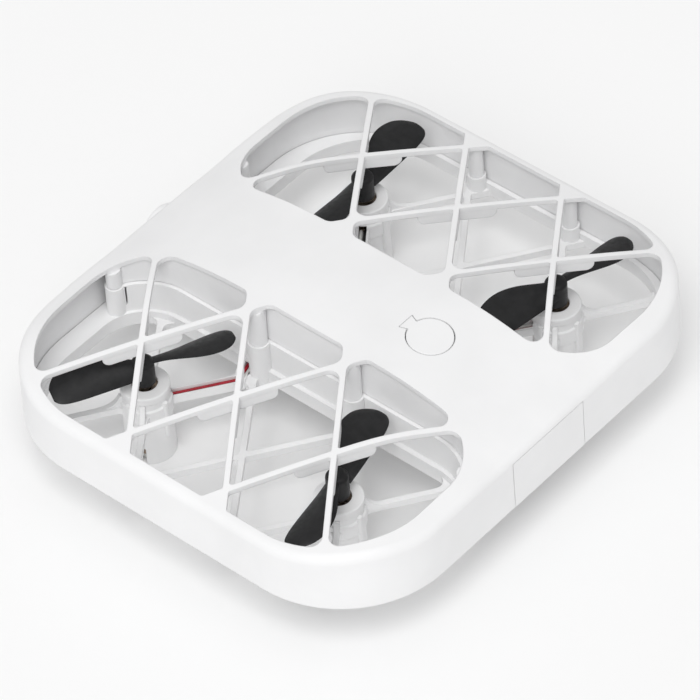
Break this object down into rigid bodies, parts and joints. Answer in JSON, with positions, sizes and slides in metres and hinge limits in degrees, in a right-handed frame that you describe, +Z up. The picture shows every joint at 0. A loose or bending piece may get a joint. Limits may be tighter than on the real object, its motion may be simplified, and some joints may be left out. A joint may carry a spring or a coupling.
{
  "type": "mini palm drone",
  "caption": "Flat palm drone with ducted rotors under two lattice windows, a spine with power button and battery door, and motor tubes that serve as feet.",
  "frame": {"origin": "on the ground plane, under the middle of the whole drone", "axes": "+Z up through the rotors, -Y the drone's front with the camera, +Y the battery door, +X the drone's left, across its longer side"},
  "size_m": [0.133, 0.119, 0.0388],
  "materials": {
    "shell_white": "satin moulded ABS",
    "frame_white": "satin moulded ABS",
    "button_white": "satin moulded ABS",
    "case_white": "satin moulded ABS",
    "propeller_black": "near-black satin nylon",
    "shaft_steel": "ground steel",
    "can_metal": "plated can",
    "cap_white": "moulded",
    "lead_red": "soft insulation",
    "lead_black": "soft insulation",
    "lead_white": "soft insulation",
    "board_green": "solder mask over glass fibre",
    "chip_black": "moulded epoxy",
    "shield_metal": "tinned plate",
    "led_clear": "clear resin",
    "switch_black": "moulded",
    "plunger_white": "moulded",
    "capacitor_metal": "sleeved can",
    "socket_white": "moulded nylon",
    "cell_foil": "foil pouch",
    "contact_brass": "plated",
    "antenna_black": "sleeved wire",
    "camera_black": "moulded",
    "ring_black": "gloss",
    "lens_glass": "coated",
    "ribbon_orange": "polyimide film",
    "screw_steel": "zinc plated"
  },
  "bodies": {
    "frame": {"top_shell": "shell_white", "bottom_frame": "frame_white", "motor_can_front_left": "can_metal", "motor_cap_front_left": "cap_white", "motor_lead_red_front_left": "lead_red", "motor_lead_white_front_left": "lead_white", "motor_can_front_right": "can_metal", "motor_cap_front_right": "cap_white", "motor_lead_black_front_right": "lead_black", "motor_lead_white_front_right": "lead_white", "motor_can_rear_left": "can_metal", "motor_cap_rear_left": "cap_white", "motor_lead_black_rear_left": "lead_black", "motor_lead_white_rear_left": "lead_white", "motor_can_rear_right": "can_metal", "motor_cap_rear_right": "cap_white", "motor_lead_red_rear_right": "lead_red", "motor_lead_white_rear_right": "lead_white", "main_board": "board_green", "camera_board": "board_green", "flight_chip": "chip_black", "gyro_chip": "chip_black", "motor_drivers": "chip_black", "radio_shield": "shield_metal", "status_led": "led_clear", "power_switch": "switch_black", "capacitor": "capacitor_metal", "battery_socket": "socket_white", "antenna": "antenna_black", "camera_housing": "camera_black", "camera_ring": "ring_black", "camera_lens": "lens_glass", "camera_ribbon": "ribbon_orange", "case_screws": "screw_steel", "board_screws": "screw_steel"},
    "battery": {"battery_case": "case_white", "battery_cell": "cell_foil", "battery_plug": "contact_brass"},
    "button": {"power_button": "button_white"},
    "plunger": {"switch_plunger": "plunger_white"},
    "rotor_front_left": {"propeller_front_left": "propeller_black", "motor_shaft_front_left": "shaft_steel"},
    "rotor_front_right": {"propeller_front_right": "propeller_black", "motor_shaft_front_right": "shaft_steel"},
    "rotor_rear_left": {"propeller_rear_left": "propeller_black", "motor_shaft_rear_left": "shaft_steel"},
    "rotor_rear_right": {"propeller_rear_right": "propeller_black", "motor_shaft_rear_right": "shaft_steel"}
  },
  "joints": [
    {"name": "spin_front_left", "type": "hinge", "parent": "frame", "child": "rotor_front_left", "pos_m": [0.03895, -0.02895, 0.0266], "axis": [0, 0, 1], "continuous": true},
    {"name": "spin_front_right", "type": "hinge", "parent": "frame", "child": "rotor_front_right", "pos_m": [-0.03895, -0.02895, 0.0266], "axis": [0, 0, 1], "continuous": true},
    {"name": "spin_rear_left", "type": "hinge", "parent": "frame", "child": "rotor_rear_left", "pos_m": [0.03895, 0.02985, 0.0266], "axis": [0, 0, 1], "continuous": true},
    {"name": "spin_rear_right", "type": "hinge", "parent": "frame", "child": "rotor_rear_right", "pos_m": [-0.03895, 0.02985, 0.0266], "axis": [0, 0, 1], "continuous": true},
    {"name": "battery_slide", "type": "slide", "parent": "frame", "child": "battery", "axis": [0, 1, 0], "range_m": [0, 0.048]},
    {"name": "button_press", "type": "hinge", "parent": "frame", "child": "button", "pos_m": [0, 0.01785, 0.0376], "axis": [-1, 0, 0], "range_deg": [0, 2.5], "stiffness_Nm_per_rad": 0.02, "springref_deg": -1.15},
    {"name": "plunger_press", "type": "slide", "parent": "frame", "child": "plunger", "axis": [0, 0, -1], "range_m": [0, 0.0004]}
  ],
  "couplings": [
    {"joint": "plunger_press", "follows": "button_press", "m_per_rad": 0.007}
  ]
}
